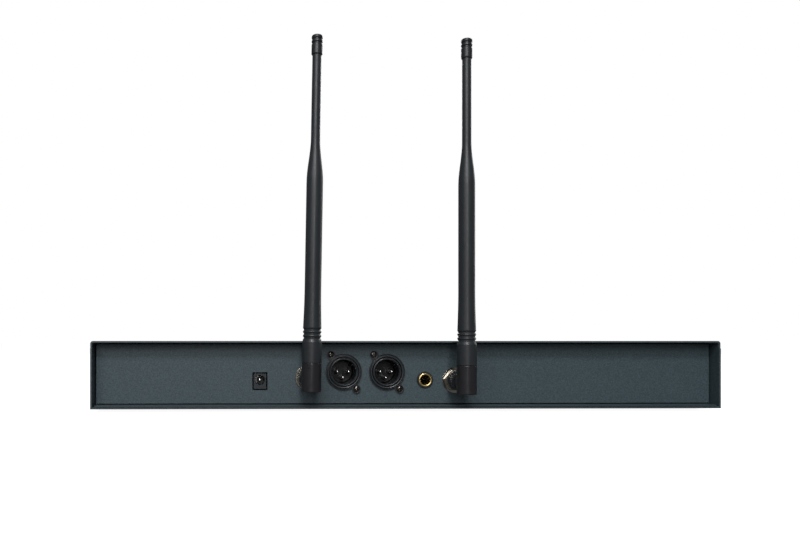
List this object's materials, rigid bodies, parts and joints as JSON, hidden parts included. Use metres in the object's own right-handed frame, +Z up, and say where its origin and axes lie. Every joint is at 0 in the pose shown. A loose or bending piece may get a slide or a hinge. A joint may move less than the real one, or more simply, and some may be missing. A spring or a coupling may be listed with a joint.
{
  "type": "wireless microphone receiver",
  "caption": "Low rack-width wireless microphone receiver with a recessed connector panel, swivelling whip antennas on bayonet sockets, volume knobs and push buttons.",
  "frame": {"origin": "middle of the whole footprint, from the antennas' elbows to the knobs' faces, on the surface that the feet stand on", "axes": "-Y is the connector side, seen with +X to the right and +Z up; +Y is the control side. Left and right in the names are as seen from the connector side."},
  "size_m": [0.42, 0.2263, 0.2424],
  "materials": {
    "case_steel": "fine-texture powder coat, satin",
    "panel_steel": "fine-texture powder coat, satin",
    "front_plate": "satin",
    "black_screws": "black oxide",
    "zinc_screws": "zinc plated",
    "zinc_inserts": "zinc plated",
    "foot_rubber": "matt",
    "circuit_board": "solder mask",
    "brass_posts": "plain",
    "shield_tin": "tinned",
    "cable_jacket": "matt",
    "capacitor_sleeve": "gloss",
    "ribbon": "matt",
    "socket_black": "satin",
    "insert_black": "matt",
    "contact_silver": "silver plated",
    "contact_gold": "gold plated",
    "nickel": "nickel plated",
    "white_insulator": "matt",
    "ring_black": "satin",
    "elbow_black": "satin",
    "whip_rubber": "satin moulded rubber",
    "tip_rubber": "satin moulded rubber",
    "copper_rod": "plain",
    "display_black": "gloss",
    "window_smoke": "smoked clear",
    "pot_metal": "plain",
    "shaft_metal": "plain",
    "knob_black": "satin",
    "switch_black": "matt",
    "button_grey": "satin",
    "light_green": "diffuse"
  },
  "bodies": {
    "case": {"base_tray": "case_steel", "top_cover": "case_steel", "rear_panel": "panel_steel", "front_panel": "front_plate", "cover_screws": "black_screws", "rear_panel_screws": "black_screws", "front_panel_screws": "zinc_screws", "rubber_feet": "foot_rubber", "foot_screws": "zinc_screws", "rack_inserts": "zinc_inserts", "main_board": "circuit_board", "board_standoffs": "brass_posts", "board_screws": "zinc_screws", "rf_module_left": "shield_tin", "rf_module_right": "shield_tin", "coax_lead_left": "cable_jacket", "coax_lead_right": "cable_jacket", "capacitors": "capacitor_sleeve", "ribbon_cable": "ribbon", "dc_jack_body": "socket_black", "dc_jack_contacts": "contact_silver", "xlr_shell_left": "socket_black", "xlr_shell_right": "socket_black", "xlr_inserts": "insert_black", "xlr_pins": "contact_silver", "xlr_screws": "black_screws", "jack_body": "socket_black", "jack_bushing": "contact_gold", "jack_contacts": "contact_gold", "bnc_jack_left": "nickel", "bnc_jack_right": "nickel", "bnc_insulators": "white_insulator", "bnc_nuts": "nickel", "bnc_washers": "nickel", "front_board": "circuit_board", "display_module": "display_black", "display_window": "window_smoke", "volume_pots": "pot_metal", "key_switches": "switch_black", "indicator_lights": "light_green"},
    "antenna_left": {"antenna_elbow_left": "elbow_black", "antenna_plug_left": "nickel", "antenna_whip_left": "whip_rubber", "antenna_tip_left": "tip_rubber", "antenna_element_left": "copper_rod"},
    "coupling_left": {"coupling_nut_left": "ring_black"},
    "volume_left": {"volume_knob_left": "knob_black", "volume_shaft_left": "shaft_metal"},
    "set_key_left": {"set_button_left": "button_grey"},
    "antenna_right": {"antenna_elbow_right": "elbow_black", "antenna_plug_right": "nickel", "antenna_whip_right": "whip_rubber", "antenna_tip_right": "tip_rubber", "antenna_element_right": "copper_rod"},
    "coupling_right": {"coupling_nut_right": "ring_black"},
    "volume_right": {"volume_knob_right": "knob_black", "volume_shaft_right": "shaft_metal"},
    "set_key_right": {"set_button_right": "button_grey"},
    "power_key": {"power_button": "button_grey"}
  },
  "joints": [
    {"name": "antenna_left_swivel", "type": "hinge", "parent": "case", "child": "antenna_left", "pos_m": [-0.0658, -0.09885, 0.0227], "axis": [0, 1, 0], "range_deg": [-90, 23]},
    {"name": "antenna_right_swivel", "type": "hinge", "parent": "case", "child": "antenna_right", "pos_m": [0.0338, -0.09885, 0.021], "axis": [0, 1, 0], "range_deg": [-23, 90]},
    {"name": "coupling_left_turn", "type": "hinge", "parent": "case", "child": "coupling_left", "pos_m": [-0.0658, -0.09085, 0.0227], "axis": [0, 1, 0], "range_deg": [0, 90]},
    {"name": "coupling_right_turn", "type": "hinge", "parent": "case", "child": "coupling_right", "pos_m": [0.0338, -0.09085, 0.021], "axis": [0, 1, 0], "range_deg": [0, 90]},
    {"name": "volume_left_turn", "type": "hinge", "parent": "case", "child": "volume_left", "pos_m": [-0.095, 0.10115, 0.025], "axis": [0, 1, 0], "range_deg": [-150, 150]},
    {"name": "volume_right_turn", "type": "hinge", "parent": "case", "child": "volume_right", "pos_m": [0.095, 0.10115, 0.025], "axis": [0, 1, 0], "range_deg": [-150, 150]},
    {"name": "power_key_press", "type": "slide", "parent": "case", "child": "power_key", "axis": [0, -1, 0], "range_m": [0, 0.0008], "stiffness_N_per_m": 900},
    {"name": "set_key_left_press", "type": "slide", "parent": "case", "child": "set_key_left", "axis": [0, -1, 0], "range_m": [0, 0.0008], "stiffness_N_per_m": 900},
    {"name": "set_key_right_press", "type": "slide", "parent": "case", "child": "set_key_right", "axis": [0, -1, 0], "range_m": [0, 0.0008], "stiffness_N_per_m": 900}
  ]
}
